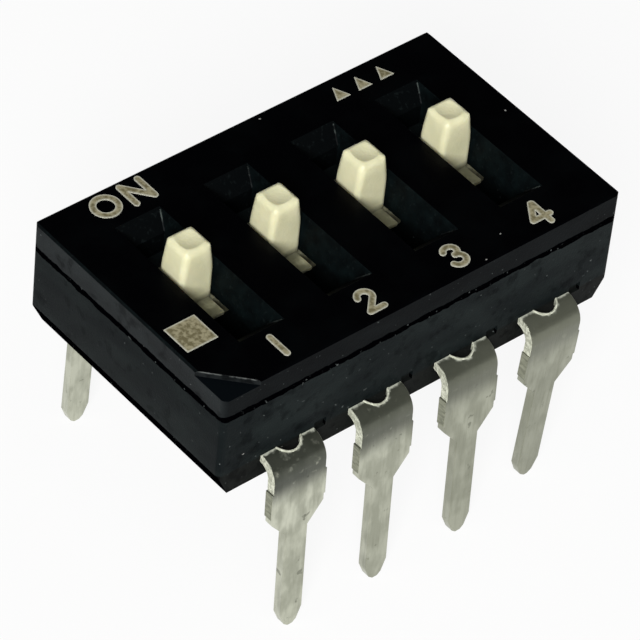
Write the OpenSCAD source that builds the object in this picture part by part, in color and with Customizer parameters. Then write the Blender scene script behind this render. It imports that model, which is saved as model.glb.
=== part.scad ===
// Four-position slide DIP switch.
// A base is moulded round eight bent leads, a cover with four funnels closes it, and in
// each of the four bays a slide carries a contact spring over the ends of two leads.
// X runs along the row of switches, +Y is the ON side and +Z is up. The origin is under
// the middle of the body, on the plane that the tips of the leads stand on.
// Leads 1 to 4 are on the front (-Y) side from -X to +X, and 5 to 8 come back behind.

/* [Body] */
// Length of the body along the row of switches
body_l = 11.6; // [11.3:0.02:12.4]
// Width of the body, across the switches
body_w = 6.84; // [6.6:0.02:7.1]
// Height of the base from its underside to its rim
base_h = 2.46; // [2.4:0.02:2.8]
// Thickness of the base under the leads' top face
floor_t = 0.72; // [0.6:0.02:0.9]
// Height of the cover's edge band
cover_h = 0.72; // [0.64:0.02:0.9]
// Depth of the cover's plug below the rim
plug_h = 0.26; // [0.2:0.02:0.32]
// Width of the rim that the cover rests on
rim_w = 0.42; // [0.36:0.02:0.5]
// Radius of the body's upright corners
corner_r = 0.16; // [0.08:0.02:0.3]
// Bevel round the cover's top face
edge_bevel = 0.05; // [0.03:0.01:0.1]
// Lean of the base's lower band along its sides, in at the underside
lower_lean = 0.06; // [0.02:0.01:0.12]
// Lean of the base's lower band at its two ends
end_lean = 0.34; // [0.02:0.02:0.4]
// Width of the small relief in the wall beside each lead
relief_w = 0.34; // [0.2:0.02:0.4]
// Height of the relief over the leads' top face
relief_h = 0.14; // [0.08:0.02:0.2]
// Depth of the relief into the wall
relief_d = 0.1; // [0.06:0.02:0.16]
// Leg along X of the step at the cover's first corner
step_x = 1.0; // [0.7:0.05:1.1]
// Leg along Y of the step at the cover's first corner
step_y = 1.06; // [0.7:0.02:1.2]
// Depth of the step at the cover's first corner
step_h = 0.15; // [0.1:0.01:0.25]

/* [Switches] */
// Distance between two switches, and between two leads of a row
pitch = 2.54; // [2.5:0.01:2.6]
// Thickness of the partition between two bays
partition_t = 0.4; // [0.3:0.02:0.5]
// Distance that a slide moves between ON and OFF
travel = 0.84; // [0.7:0.02:0.9]
// Width of a funnel at the cover's top face
funnel_w = 1.28; // [1.16:0.02:1.5]
// Length of a funnel at the cover's top face
funnel_l = 4.44; // [4.2:0.02:4.7]
// Depth of a funnel's sloped walls
funnel_h = 0.42; // [0.34:0.02:0.5]
// Open length of the slot past the knob at each end of its travel
slot_spare = 0.99; // [0.4:0.01:1.04]

/* [Slides] */
// Width of a knob
knob_w = 0.94; // [0.7:0.02:1.02]
// Length of a knob in the direction it moves
knob_l = 0.82; // [0.74:0.02:1.04]
// Height of a knob above the cover
knob_rise = 0.71; // [0.4:0.01:1]
// Lean of a knob's left and right sides at its top
knob_lean = 0.07; // [0:0.01:0.1]
// Radius of a knob's upright edges
knob_edge_r = 0.15; // [0.05:0.01:0.2]
// Radius that rounds a knob's sides into its top
knob_top_r = 0.19; // [0.08:0.01:0.24]
// Radius of the dish in a knob's top, seen from above
dish_r = 0.34; // [0.24:0.01:0.36]
// Depth of the dish
dish_h = 0.06; // [0.03:0.01:0.09]
// Length of a slide, from nose to nose of its rib
plate_l = 1.96; // [1.8:0.02:2.1]
// Thickness of a slide's plate
plate_t = 0.7; // [0.5:0.02:0.8]
// Length of the plate's wings, which keep a slide under the cover
wing_l = 0.84; // [0.7:0.02:1.2]
// Width of the rib that runs along the top of the plate and past it
rib_w = 0.74; // [0.5:0.02:0.86]
// Height of the rib, and thickness of its noses
rib_h = 0.1; // [0.06:0.01:0.16]

/* [Springs] */
// Thickness of a contact spring
spring_t = 0.08; // [0.06:0.01:0.1]
// Width of a contact spring
spring_w = 1.0; // [0.8:0.02:1.1]
// Distance of the contact lines from a slide's middle
spring_reach = 0.78; // [0.7:0.02:0.82]
// Half length of the spring's flat middle
spring_flat = 0.3; // [0.26:0.02:0.36]
// Width of the gap between a spring's two tines
tine_gap = 0.16; // [0.1:0.02:0.24]
// Diameter of the peg that holds a spring
peg_d = 0.36; // [0.3:0.02:0.4]

/* [Leads] */
// Distance between the two rows, at the middle of the metal
row_w = 7.62; // [7.54:0.02:7.8]
// Thickness of the lead metal
lead_t = 0.25; // [0.2:0.01:0.28]
// Width of a lead above its shoulder
lead_w = 1.5; // [1.36:0.02:1.6]
// Width of the pin below the shoulder
pin_w = 0.64; // [0.5:0.02:0.7]
// Width of a pin's end
tip_w = 0.36; // [0.24:0.02:0.44]
// Length over which a pin narrows to its end
tip_h = 0.44; // [0.3:0.02:0.7]
// Height of the underside above the board that the shoulders stand on
stand_off = 1.52; // [1.3:0.02:1.8]
// Length of a pin below the board's top face
pin_drop = 3.14; // [2.8:0.02:3.6]
// Height of the taper from a lead's full width to its pin
shoulder_h = 0.42; // [0.3:0.02:0.6]
// Outer radius of a lead's bend
bend_r = 0.56; // [0.46:0.01:0.56]
// Outward lean of a lead in degrees
lean = 2.2; // [0:0.1:3]
// Lean of the fourth lead in degrees, which is pushed inwards
bent_lean = -3.4; // [-4:0.1:3]
// Diameter of the lock hole at the body's wall
hole_d = 0.76; // [0.6:0.02:0.9]
// Distance of the lock hole's centre inside the body's wall
hole_in = 0.14; // [0.06:0.02:0.24]
// Height of the cut-off web on a lead's sides
web_h = 0.78; // [0.6:0.02:0.9]
// Distance that the cut-off web stands out
web_out = 0.04; // [0.02:0.01:0.08]
// Distance from the centre of the bend down to the web
web_drop = 0.3; // [0.2:0.02:0.4]
// Width of a lead's contact pad
pad_w = 1.2; // [1.04:0.02:1.4]
// Length of the wide metal inside the wall
anchor_l = 0.7; // [0.5:0.02:0.9]
// Distance that a pad reaches past the spring's contact line
pad_lap = 0.16; // [0.1:0.02:0.24]

/* [Print] */
// Height of the printed numbers, between the middles of their strokes
number_h = 0.62; // [0.5:0.02:0.66]
// Height of the printed word, between the middles of its strokes
word_h = 0.64; // [0.5:0.02:0.68]
// Width of the printed strokes
stroke = 0.17; // [0.12:0.01:0.22]
// Distance from the middle to the row of numbers
number_y = 2.84; // [2.7:0.02:2.9]
// Distance from the middle to the row of marks on the ON side
word_y = 2.89; // [2.8:0.01:2.9]
// Distance from the first switch out to the middle of the O
word_out = 0.37; // [0.3:0.01:0.5]
// Distance between the letters of the word
letter_step = 0.89; // [0.8:0.01:1]
// Side of the printed square
square_w = 0.85; // [0.6:0.01:0.9]
// Distance from the body's end to the middle of the square
square_in = 0.64; // [0.56:0.01:0.7]
// Distance of the square from the middle, towards the numbers
square_y = 1.41; // [1:0.01:1.6]
// Width of a printed arrow
arrow_w = 0.4; // [0.3:0.02:0.5]
// Distance between two arrows
arrow_step = 0.66; // [0.6:0.02:0.8]
// Distance from the last switch in to the middle arrow
arrow_in = 0.53; // [0.3:0.01:0.8]
// Thickness of the printed ink
ink_t = 0.02; // [0.01:0.01:0.03]

/* [Clearances] */
// Gap on each side of a knob in its slot
slot_gap = 0.03; // [0.02:0.01:0.06]
// Gap above a slide's plate, and on each side of it
run_gap = 0.04; // [0.02:0.01:0.06]
// Gap between a slide and its stop
stop_gap = 0.02; // [0.01:0.01:0.04]
// Gap round the cover's plug
plug_gap = 0.03; // [0.02:0.01:0.05]
// Gap between a peg and its hole, and between a spring and its pads
spring_gap = 0.02; // [0.01:0.01:0.03]
// Gap beside a lead where the wall reaches out round its bend
leg_gap = 0.05; // [0.03:0.01:0.1]

/* [Hidden] */
$fn = 48;

switches = 4;

// Levels, from the tips of the leads up.
board_z = pin_drop;
base_z = board_z + stand_off;
pad_z = base_z + floor_t;
rim_z = base_z + base_h;
top_z = rim_z + cover_h;
plug_z = rim_z - plug_h;
plate_z = plug_z - run_gap - plate_t;

// Places along Y.
wall_y = body_w / 2;
on_slide_y = travel / 2;
bay_l = plate_l + travel + 2 * stop_gap;
bay_w = pitch - partition_t;
slot_w = knob_w + 2 * slot_gap;
slot_l = knob_l + travel + 2 * slot_spare;
rib_l = min(plate_l, slot_l - travel - 2 * slot_gap);

// A lead's bend: its centre, and the metal's inner radius there.
bend_y = row_w / 2 + lead_t / 2 - bend_r;
bend_z = pad_z - bend_r;
inner_r = bend_r - lead_t;
web_z = bend_z - web_drop;

// Length that a cut runs out past the surface it opens.
cut_out = lead_w;

plastic = "#33383a";
cover_plastic = "#2b2f31";
cream = "#e6e4cf";
tin = "#b9bbaa";
bronze = "#b9925a";
ink = "#b5b19c";

// Place of a switch, counted from 1, and the lean of a lead.
function switch_x(i) = (i - (switches + 1) / 2) * pitch;
function lead_lean(i) = i == 4 ? bent_lean : lean;

// --- Shapes that several parts share ---

// A flat plate outline with round corners.
module round_rect(l, w, r) {
    square([l - 2 * r, w], center = true);
    square([l, w - 2 * r], center = true);
    for (x = [-1, 1], y = [-1, 1])
        translate([x * (l / 2 - r), y * (w / 2 - r)])
            circle(r);
}

// A profile in Y and Z, drawn out along X, and one in X and Z, drawn out along Y.
module along_x(l) {
    rotate([90, 0, 90])
        linear_extrude(l, center = true)
            children();
}

module along_y(l) {
    rotate([90, 0, 0])
        linear_extrude(l, center = true)
            children();
}

// A profile that is low_w wide at z0 and high_w wide at z1.
module taper(low_w, high_w, z0, z1) {
    polygon([[-low_w / 2, z0], [low_w / 2, z0], [high_w / 2, z1], [-high_w / 2, z1]]);
}

// A straight stroke from p to q, w wide, with round ends.
module straight(p, q, w) {
    translate(p)
        rotate(atan2(q.y - p.y, q.x - p.x))
            translate([0, -w / 2])
                square([norm(q - p), w]);
    for (end = [p, q])
        translate(end)
            circle(d = w, $fn = 24);
}

// A block whose four sides lean evenly between two heights.
module leaning_block(low, high, z0, z1) {
    intersection() {
        along_x(max(low.x, high.x) + 1)
            taper(low.y, high.y, z0, z1);
        along_y(max(low.y, high.y) + 1)
            taper(low.x, high.x, z0, z1);
    }
}

// --- Leads ---

// The flat metal of a front lead inside the body, seen from above, from its pad's free
// end at y = pad_end out to the bend.
module lead_plan(pad_end) {
    translate([-pad_w / 2, -bend_y])
        square([pad_w, bend_y + pad_end]);
    translate([-lead_w / 2, -bend_y])
        square([lead_w, bend_y - wall_y + anchor_l]);
}

module lead_flat(pad_end) {
    difference() {
        translate([0, 0, pad_z - lead_t])
            linear_extrude(lead_t)
                lead_plan(pad_end);
        lock_hole();
    }
}

// The punched hole that the plastic fills inside the wall and leaves open outside it.
module lock_hole() {
    translate([0, -wall_y + hole_in, pad_z - 1.5 * bend_r])
        cylinder(h = 2 * bend_r, d = hole_d);
}

// The bend and the leg, seen from the side, with outward to the right.
module lead_side(lean_deg) {
    translate([bend_y, bend_z]) {
        intersection() {
            difference() {
                circle(bend_r);
                circle(inner_r);
            }
            polygon([
                [0, 0],
                2 * bend_r * [cos(lean_deg), sin(lean_deg)],
                2 * bend_r * [1, 1],
                2 * bend_r * [0, 1]
            ]);
        }
        rotate(lean_deg)
            translate([inner_r, -bend_z * 1.1])
                square([lead_t, bend_z * 1.1]);
    }
}

// The bend and the leg, seen from the front: full width, shoulder, pin and tip.
module lead_front() {
    right = [
        [tip_w / 5, 0],
        [tip_w / 2, tip_w / 4],
        [pin_w / 2, tip_h],
        [pin_w / 2, board_z - shoulder_h / 4],
        [lead_w / 2, board_z + shoulder_h],
        [lead_w / 2, pad_z]
    ];
    last = len(right) - 1;
    polygon(concat(right, [for (k = [0 : last]) [-right[last - k].x, right[last - k].y]]));
    translate([-lead_w / 2 - web_out, web_z - web_h])
        square([lead_w + 2 * web_out, web_h]);
}

// A lead on the front side, at the middle of the body.
module front_lead(pad_end, lean_deg) {
    lead_flat(pad_end);
    difference() {
        intersection() {
            mirror([0, 1, 0])
                along_x(2 * lead_w)
                    lead_side(lean_deg);
            along_y(2 * row_w)
                lead_front();
        }
        lock_hole();
    }
}

// Leads 1 to 4 reach under the spring in both places of its slide. Leads 5 to 8 are
// turned round behind, and reach it only when it is ON.
front_pad_end = on_slide_y - spring_reach + pad_lap;
back_pad_end = -(on_slide_y + spring_reach - pad_lap);

// Puts a front lead, or its flat metal, at the place of lead i.
module at_lead(i) {
    if (i <= switches)
        translate([switch_x(i), 0, 0])
            children();
    else
        rotate(180)
            translate([-switch_x(2 * switches + 1 - i), 0, 0])
                children();
}

function pad_end(i) = i <= switches ? front_pad_end : back_pad_end;

module lead(i) {
    color(tin)
        at_lead(i)
            front_lead(pad_end(i), lead_lean(i));
}

// --- Housing ---

// The block is moulded round the leads' flat metal, and holds four bays and the seat of
// the cover's plug. The mould parts at the leads' top face, and the band under it leans in,
// most at the two ends.
module base() {
    color(plastic)
        difference() {
            base_block();
            plug_seat();
            for (i = [1 : switches])
                translate([switch_x(i), 0, pad_z])
                    linear_extrude(base_h)
                        square([bay_w, bay_l], center = true);
            for (i = [1 : 2 * switches])
                at_lead(i) {
                    lead_flat(pad_end(i));
                    leg_room();
                    wall_relief();
                }
        }
}

module base_block() {
    translate([0, 0, pad_z])
        linear_extrude(rim_z - pad_z)
            round_rect(body_l, body_w, corner_r);
    intersection() {
        translate([0, 0, base_z])
            linear_extrude(floor_t)
                round_rect(body_l, body_w, corner_r);
        leaning_block(
            [body_l - 2 * end_lean, body_w - 2 * lower_lean],
            [body_l, body_w],
            base_z, pad_z);
    }
}

// Room for a front lead's bend and leg, which opens the wall of a body wide enough to
// reach them.
module leg_room() {
    room_w = lead_w + 2 * (web_out + leg_gap);
    translate([-room_w / 2, -wall_y - cut_out, base_z - cut_out])
        cube([room_w, wall_y + cut_out - bend_y, pad_z - base_z + cut_out]);
}

// A small pocket at the parting line, beside a front lead.
module wall_relief() {
    translate([lead_w / 2, -wall_y - cut_out, pad_z - lead_t / 2])
        cube([relief_w, cut_out + relief_d, lead_t / 2 + relief_h]);
}

module plug_seat() {
    translate([0, 0, plug_z - run_gap / 2])
        linear_extrude(plug_h + run_gap)
            round_rect(body_l - 2 * rim_w, body_w - 2 * rim_w, corner_r);
}

// The cover's band rests on the base's rim and its plug fills the seat. Each switch has
// a funnel with four sloped walls over a straight slot.
module cover() {
    color(cover_plastic)
        difference() {
            union() {
                cover_band();
                translate([0, 0, plug_z])
                    linear_extrude(plug_h)
                        round_rect(
                            body_l - 2 * rim_w - 2 * plug_gap,
                            body_w - 2 * rim_w - 2 * plug_gap,
                            corner_r);
            }
            for (i = [1 : switches])
                translate([switch_x(i), 0, 0])
                    funnel_and_slot();
            corner_step();
        }
}

module cover_band() {
    translate([0, 0, rim_z])
        linear_extrude(cover_h - edge_bevel)
            round_rect(body_l, body_w, corner_r);
    intersection() {
        translate([0, 0, top_z - edge_bevel])
            linear_extrude(edge_bevel)
                round_rect(body_l, body_w, corner_r);
        leaning_block(
            [body_l, body_w],
            [body_l - 2 * edge_bevel, body_w - 2 * edge_bevel],
            top_z - edge_bevel, top_z);
    }
}

module funnel_and_slot() {
    over = 0.1;
    rise = over / funnel_h;
    leaning_block(
        [slot_w, slot_l],
        [funnel_w + rise * (funnel_w - slot_w), funnel_l + rise * (funnel_l - slot_l)],
        top_z - funnel_h, top_z + over);
    translate([0, 0, plug_z - over])
        linear_extrude(top_z - funnel_h - plug_z + 2 * over)
            square([slot_w, slot_l], center = true);
}

// The cut through the corner, whose slanted side meets the walls at the two legs' ends.
module corner_step() {
    over_x = cut_out * step_x / step_y;
    over_y = cut_out * step_y / step_x;
    translate([-body_l / 2, -wall_y, top_z - step_h])
        linear_extrude(cut_out)
            polygon([
                [-cut_out, -cut_out],
                [step_x + over_x, -cut_out],
                [-cut_out, step_y + over_y]
            ]);
}

// --- Slides and their springs ---

// A slide in its ON place, with its knob up through the cover. Its wings run under the
// cover's plug, and its rib runs in the slot.
module slide(i) {
    color(cream)
        translate([switch_x(i), on_slide_y, 0]) {
            knob();
            translate([0, 0, plate_z])
                linear_extrude(plate_t)
                    square([bay_w - 2 * run_gap, wing_l], center = true);
            rib();
            translate([0, 0, plate_z - spring_t - spring_gap])
                cylinder(h = spring_t + spring_gap + plate_t, d = peg_d);
        }
}

// The rib stands out past the wings at both ends, where its underside slopes up to a nose.
module rib() {
    half = rib_l / 2;
    foot = wing_l / 2;
    plate_top = plate_z + plate_t;
    slope = min(half - foot, plate_t);
    along_x(rib_w)
        polygon([
            [-half, plate_top + rib_h],
            [-half, plate_top],
            [-foot, plate_top - slope],
            [-foot, plate_z],
            [foot, plate_z],
            [foot, plate_top - slope],
            [half, plate_top],
            [half, plate_top + rib_h]
        ]);
}

module knob() {
    z0 = plate_z + plate_t / 2;
    z1 = top_z + knob_rise;
    dish_ball_r = (dish_r * dish_r + dish_h * dish_h) / (2 * dish_h);
    difference() {
        intersection() {
            translate([0, 0, z0])
                linear_extrude(z1 - z0)
                    round_rect(knob_w, knob_l, knob_edge_r);
            along_x(2 * knob_w)
                knob_profile(knob_l, 0, z0, z1);
            along_y(2 * knob_l)
                knob_profile(knob_w, knob_lean, z0, z1);
        }
        translate([0, 0, z1 - dish_h + dish_ball_r])
            sphere(dish_ball_r, $fn = 96);
    }
}

// A knob seen from the side: w wide inside the cover, leaning in above it, with a
// rounded top.
module knob_profile(w, lean_in, z0, z1) {
    half = w / 2 - lean_in;
    turn = [for (a = [0 : 15 : 90]) a];
    polygon(concat(
        [[-w / 2, z0], [w / 2, z0], [w / 2, top_z]],
        [for (a = turn) [half - knob_top_r * (1 - cos(a)), z1 - knob_top_r * (1 - sin(a))]],
        [for (a = turn) [-half + knob_top_r * (1 - sin(a)), z1 - knob_top_r * (1 - cos(a))]],
        [[-w / 2, top_z]]
    ));
}

// The spring hangs on the slide's peg. Two pairs of tines reach down to the pads.
module contact_spring(i) {
    top = plate_z;
    low = pad_z + spring_gap + spring_t / 2;
    color(bronze)
        translate([switch_x(i), on_slide_y, 0])
            difference() {
                along_x(spring_w)
                    for (side = [-1, 1]) {
                        root = [0, top - spring_t / 2];
                        knee = [side * spring_flat, top - spring_t / 2];
                        contact = [side * spring_reach, low];
                        straight(root, knee, spring_t);
                        straight(knee, contact, spring_t);
                        straight(contact, contact + 2 * spring_t * [side, 1], spring_t);
                    }
                translate([0, 0, top - 2 * spring_t])
                    cylinder(h = 3 * spring_t, d = peg_d + 2 * spring_gap);
                for (side = [-1, 1])
                    translate([-tine_gap / 2, side * spring_reach - spring_reach / 2, pad_z])
                        cube([tine_gap, spring_reach, top - pad_z - spring_t]);
            }
}

// --- Print on the cover ---

// Strokes of the figures. A figure h high stands in a box from 0 to 1 up, and its box is
// narrower than it is high.
slim = 0.7;

module bar(h, p, q) {
    straight([p.x * slim * h, p.y * h], [q.x * slim * h, q.y * h], stroke);
}

// A curved stroke round c, on an arc that is rx wide and ry high.
function arc_points(h, c, rx, ry, out, a0, a1) =
    [for (k = [0 : 12]) let (a = a0 + (a1 - a0) * k / 12)
        [(c.x + rx * cos(a)) * slim * h + out * cos(a), (c.y + ry * sin(a)) * h + out * sin(a)]];

module curve(h, c, rx, ry, a0, a1) {
    polygon(concat(
        arc_points(h, c, rx, ry, stroke / 2, a0, a1),
        arc_points(h, c, rx, ry, -stroke / 2, a1, a0)));
    for (a = [a0, a1])
        translate(arc_points(h, c, rx, ry, 0, a, a)[0])
            circle(d = stroke, $fn = 24);
}

module figure_1(h) {
    bar(h, [0.5, 0.1], [0.5, 1.06]);
}

module figure_2(h) {
    curve(h, [0.5, 0.72], 0.42, 0.28, -35, 170);
    bar(h, [0.84, 0.56], [0.06, 0]);
    bar(h, [0.06, 0], [0.96, 0]);
}

module figure_3(h) {
    curve(h, [0.46, 0.76], 0.4, 0.24, -80, 160);
    curve(h, [0.46, 0.27], 0.44, 0.27, -160, 80);
}

module figure_4(h) {
    bar(h, [0.56, -0.1], [0.56, 1]);
    bar(h, [0.5, 1], [-0.26, 0.24]);
    bar(h, [-0.26, 0.24], [0.88, 0.24]);
}

// The O's outline, out or in from the middle of its stroke.
module oval(h, out) {
    polygon([for (a = [0 : 15 : 345])
        h * [slim / 2 + 0.47 * cos(a), 0.5 + 0.47 * sin(a)] + out * [cos(a), sin(a)]]);
}

module letter_o(h) {
    difference() {
        oval(h, stroke / 2);
        oval(h, -stroke / 2);
    }
}

module letter_n(h) {
    bar(h, [-0.08, 0], [-0.08, 1]);
    bar(h, [-0.08, 1], [1.08, 0]);
    bar(h, [1.08, 0], [1.08, 1]);
}

// Ink on the cover's top.
module printed(place) {
    color(ink)
        translate([place.x, place.y, top_z])
            linear_extrude(ink_t)
                children();
}

// Ink in the shape of a figure h high, with the middle of its box at a place.
module figure_at(place, h) {
    printed([place.x - slim * h / 2, place.y - h / 2])
        children();
}

module print_on() {
    word_x = switch_x(1) - word_out;
    figure_at([word_x, word_y], word_h)
        letter_o(word_h);
    figure_at([word_x + letter_step, word_y], word_h)
        letter_n(word_h);
}

module print_numbers() {
    figure_at([switch_x(1), -number_y], number_h)
        figure_1(number_h);
    figure_at([switch_x(2), -number_y], number_h)
        figure_2(number_h);
    figure_at([switch_x(3), -number_y], number_h)
        figure_3(number_h);
    figure_at([switch_x(4), -number_y], number_h)
        figure_4(number_h);
}

// A filled square by the first switch, and three small arrows that point to ON.
module print_marks() {
    printed([-body_l / 2 + square_in, -square_y])
        square(square_w, center = true);
    for (k = [-1 : 1])
        printed([switch_x(4) - arrow_in + k * arrow_step, word_y])
            polygon([
                [-arrow_w / 2, -word_h / 3],
                [arrow_w / 2, -word_h / 3],
                [0, word_h / 3]
            ]);
}

base();
cover();
slide(1);  // slide_1
slide(2);  // slide_2
slide(3);  // slide_3
slide(4);  // slide_4
contact_spring(1);  // contact_spring_1
contact_spring(2);  // contact_spring_2
contact_spring(3);  // contact_spring_3
contact_spring(4);  // contact_spring_4
lead(1);  // lead_1
lead(2);  // lead_2
lead(3);  // lead_3
lead(4);  // lead_4
lead(5);  // lead_5
lead(6);  // lead_6
lead(7);  // lead_7
lead(8);  // lead_8
print_on();
print_numbers();
print_marks();
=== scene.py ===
# %% [markdown]
# # A slide DIP switch
# This is a small switch block that is soldered to a circuit board. A black base is moulded
# round eight bent leads, a black cover closes it, and four cream slides stick up through
# funnels in the cover. The engineering model already has the forms, so this lesson dresses
# it: it rounds the edges that a mould or a press leaves round, gives each surface its
# finish, and sets up a camera and soft light.

# %% Load the engineering model as a fixed frame
import math

import bmesh
import bpy
import numpy as np
from mathutils import Matrix, Vector


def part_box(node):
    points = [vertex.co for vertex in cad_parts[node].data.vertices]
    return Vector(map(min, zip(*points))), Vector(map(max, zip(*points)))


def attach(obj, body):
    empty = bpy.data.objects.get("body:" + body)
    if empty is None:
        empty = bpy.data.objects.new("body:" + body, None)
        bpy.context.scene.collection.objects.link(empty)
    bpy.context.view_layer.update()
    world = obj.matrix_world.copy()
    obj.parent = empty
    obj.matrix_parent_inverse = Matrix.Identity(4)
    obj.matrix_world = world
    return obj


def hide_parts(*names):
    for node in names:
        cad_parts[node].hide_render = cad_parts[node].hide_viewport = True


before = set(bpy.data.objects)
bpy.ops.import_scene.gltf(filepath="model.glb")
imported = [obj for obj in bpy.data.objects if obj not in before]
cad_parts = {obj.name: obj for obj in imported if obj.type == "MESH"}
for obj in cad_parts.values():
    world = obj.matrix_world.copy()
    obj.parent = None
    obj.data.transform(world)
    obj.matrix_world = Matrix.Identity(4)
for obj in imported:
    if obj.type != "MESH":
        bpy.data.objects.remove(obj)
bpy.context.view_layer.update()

scene = bpy.context.scene

# %% [markdown]
# ## Measures
# Most places come from the model's own boxes. What a box can't tell, such as how wide an
# edge's rounding is, is a named size or a value beside its piece. Sizes are given in
# millimetres and turned to metres by one factor.

# %% Measures from the model
MM = 0.001
SWITCHES = 4
LEADS = 2 * SWITCHES
PITCH = 2.54 * MM
# Points nearer than this count as being at the same place.
CLOSE = 0.01 * MM
# The funnels lie within this distance of the middle, in Y.
FUNNELS_Y = 2.4 * MM

base_low, base_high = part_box("base")
cover_low, cover_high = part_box("cover")
underside_z = base_low.z
rim_z = base_high.z
top_z = cover_high.z
parting_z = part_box("lead_1")[1].z
print(f"body {(base_high.x - base_low.x) / MM:.2f} x {(base_high.y - base_low.y) / MM:.2f} mm")
print(f"levels: underside {underside_z / MM:.2f}, parting line {parting_z / MM:.2f}, "
      f"rim {rim_z / MM:.2f}, top {top_z / MM:.2f} mm")

# %% [markdown]
# ## Two helpers for node trees
# Colours are written as the sRGB hex codes that a paint program shows, and shaders want
# them linear, so one function turns them. A second one adds a node with its settings, its
# values and its links in one call, which keeps each material as short as its recipe.

# %% Colour and node helpers
def linear(code, alpha=1.0):
    """The linear RGBA colour of an sRGB hex code."""
    parts = [int(code[k:k + 2], 16) / 255 for k in (1, 3, 5)]
    return [p / 12.92 if p <= 0.04045 else ((p + 0.055) / 1.055) ** 2.4 for p in parts] + [alpha]


def add(tree, kind, inputs=None, **settings):
    """A new node. A key of inputs is a socket's name or identifier, and its value is a
    number, a colour, or the output that is linked to it."""
    node = tree.nodes.new(kind)
    for name, value in settings.items():
        setattr(node, name, value)
    for key, value in (inputs or {}).items():
        socket = next(s for s in node.inputs if s.enabled and key in (s.identifier, s.name))
        if isinstance(value, bpy.types.NodeSocket):
            tree.links.new(value, socket)
        else:
            socket.default_value = value
    return node


def new_material(name, **surface):
    """A material with one Principled shader, and the values that are the same all over."""
    made = bpy.data.materials.new(name)
    made.use_nodes = True
    tree = made.node_tree
    tree.nodes.clear()
    shader = add(tree, "ShaderNodeBsdfPrincipled", surface)
    add(tree, "ShaderNodeOutputMaterial", {"Surface": shader.outputs["BSDF"]})
    return made, tree, shader


def per_metre(size_mm):
    """The Scale of a pattern whose cells are size_mm across."""
    return 1 / (size_mm * MM)


print("near-black plastic is", [round(c, 4) for c in linear("#0a0c0e")])

# %% [markdown]
# ## Patterns that several finishes share
# Most finishes here are one colour drifting to another over a millimetre or less, plus a
# fine relief. Both read Object coordinates, so they stay on the part as it moves.

# %% Shared patterns
def object_place(tree, stretch=(1, 1, 1)):
    """Object coordinates in metres. A stretch under 1 draws a pattern out along that axis."""
    place = add(tree, "ShaderNodeTexCoord").outputs["Object"]
    if stretch == (1, 1, 1):
        return place
    return add(tree, "ShaderNodeMapping", {"Vector": place, "Scale": stretch}).outputs["Vector"]


def drift(tree, place, size_mm, low, high, detail=3.0, seed=0.0):
    """A soft pattern from 0 to 1, whose patches are size_mm across. It starts to rise where
    the noise passes low, and is full at high."""
    noise = add(tree, "ShaderNodeTexNoise",
                {"Vector": place, "W": seed, "Scale": per_metre(size_mm), "Detail": detail},
                noise_dimensions="4D")
    return add(tree, "ShaderNodeMapRange",
               {"Value": noise.outputs["Fac"], "From Min": low, "From Max": high},
               interpolation_type="SMOOTHSTEP").outputs["Result"]


def coated(tree, ground, coats):
    """Lays coats over a ground colour, one after the other. A coat is a pattern, how much it
    covers where the pattern is 1, and its colour."""
    colour = linear(ground)
    for pattern, cover, code in coats:
        amount = add(tree, "ShaderNodeMath", {"Value": pattern, "Value_001": cover},
                     operation="MULTIPLY").outputs["Value"]
        mix = add(tree, "ShaderNodeMix",
                  {"Factor_Float": amount, "A_Color": colour, "B_Color": linear(code)},
                  data_type="RGBA")
        colour = next(s for s in mix.outputs if s.identifier == "Result_Color")
    return colour


def facing(tree, axis):
    """1 on faces that look along an axis, either way."""
    normal = add(tree, "ShaderNodeTexCoord").outputs["Normal"]
    part = add(tree, "ShaderNodeSeparateXYZ", {"Vector": normal}).outputs[axis]
    return add(tree, "ShaderNodeMath", {"Value": part}, operation="ABSOLUTE").outputs["Value"]


def finish(tree, shader, colour, height, depth_mm):
    """Gives the shader its colour, and a fine relief, depth_mm deep where height is 1."""
    tree.links.new(colour, shader.inputs["Base Color"])
    bump = add(tree, "ShaderNodeBump", {"Height": height, "Distance": depth_mm * MM})
    tree.links.new(bump.outputs["Normal"], shader.inputs["Normal"])


def band_near(tree, level, half_mm, ragged_mm, grain_mm):
    """1 on a horizontal line at a level, fading out half_mm above and below it. Noise
    moves the line's edges by ragged_mm."""
    place = object_place(tree)
    noise = add(tree, "ShaderNodeTexNoise",
                {"Vector": place, "Scale": per_metre(grain_mm), "Detail": 3.0})
    z = add(tree, "ShaderNodeSeparateXYZ", {"Vector": place}).outputs["Z"]
    away = add(tree, "ShaderNodeMath", {"Value": z, "Value_001": level}, operation="SUBTRACT")
    away = add(tree, "ShaderNodeMath", {"Value": away.outputs["Value"]}, operation="ABSOLUTE")
    ragged = add(tree, "ShaderNodeMath",
                 {"Value": noise.outputs["Fac"], "Value_001": -2 * ragged_mm * MM,
                  "Value_002": away.outputs["Value"]},
                 operation="MULTIPLY_ADD")
    return add(tree, "ShaderNodeMapRange",
               {"Value": ragged.outputs["Value"],
                "From Min": (half_mm - ragged_mm) * MM * 0.4,
                "From Max": (half_mm - ragged_mm) * MM,
                "To Min": 1.0, "To Max": 0.0},
               interpolation_type="SMOOTHSTEP").outputs["Result"]


def above_level(tree, level, fade_mm):
    """0 below a level and 1 from fade_mm above it. A negative fade turns it upside down."""
    z = add(tree, "ShaderNodeSeparateXYZ", {"Vector": object_place(tree)}).outputs["Z"]
    return add(tree, "ShaderNodeMapRange",
               {"Value": z, "From Min": level, "From Max": level + fade_mm * MM}
               ).outputs["Result"]


print("shared steps: drift, coated, facing, finish, band_near, above_level")
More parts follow.
